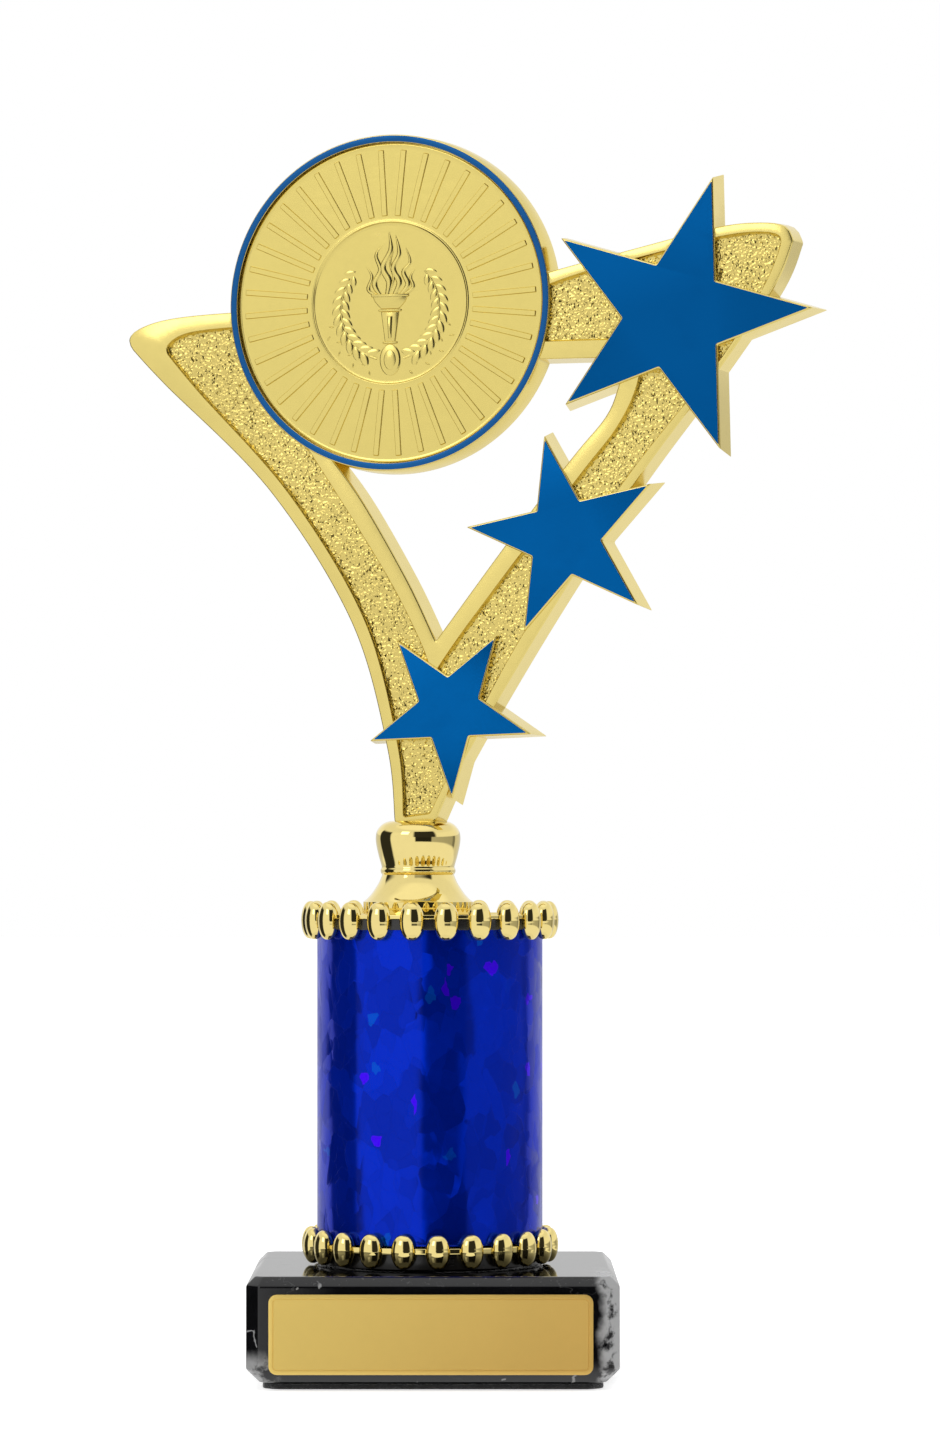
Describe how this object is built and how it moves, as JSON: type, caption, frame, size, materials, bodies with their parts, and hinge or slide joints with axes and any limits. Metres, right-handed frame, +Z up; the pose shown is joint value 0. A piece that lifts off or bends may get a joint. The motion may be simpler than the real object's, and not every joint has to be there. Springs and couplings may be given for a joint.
{
  "type": "column trophy",
  "caption": "Award trophy: square marble base, film-wrapped column between beaded rings, and a turning star riser with a round medal insert.",
  "frame": {"origin": "centre of the felt pad's underside, on the surface that the trophy stands on", "axes": "+Z up along the column, -Y towards the name plate, +X to the right seen from the front"},
  "size_m": [0.1094, 0.0578, 0.1947],
  "materials": {
    "marble": "polished black marble with grey-white veins",
    "felt": "short black felt",
    "tape": "off-white adhesive foam",
    "plate_gold": "satin gold anodised sheet",
    "plated_gold": "mirror-bright vacuum-plated gold",
    "tube_plastic": "plain pale extruded plastic",
    "blue_film": "glossy blue holographic film with faceted highlights",
    "steel": "zinc-plated steel",
    "insert_brass": "turned brass",
    "riser_gold": "satin gold plated moulding with a stippled sunken field",
    "medal_gold": "bright gold pressed metal",
    "ring_blue": "satin blue foil",
    "star_blue": "satin blue foil"
  },
  "bodies": {
    "stand": {"marble_base": "marble", "base_felt": "felt", "plate_tape": "tape", "name_plate": "plate_gold", "lower_bead_ring": "plated_gold", "column_tube": "tube_plastic", "column_film": "blue_film", "upper_bead_ring": "plated_gold"},
    "topper": {"threaded_rod": "steel", "hex_nut": "steel", "spring_washer": "steel", "flat_washer": "steel", "neck": "plated_gold", "neck_insert": "insert_brass", "riser_shell": "riser_gold", "medal_pad": "tape", "medal_insert": "medal_gold", "ring_face": "ring_blue", "star_face_large": "star_blue", "star_face_medium": "star_blue", "star_face_small": "star_blue"}
  },
  "joints": [
    {"name": "topper_swivel", "type": "hinge", "parent": "stand", "child": "topper", "pos_m": [-0.0025, 0, 0.072], "axis": [0, 0, 1], "continuous": true}
  ]
}
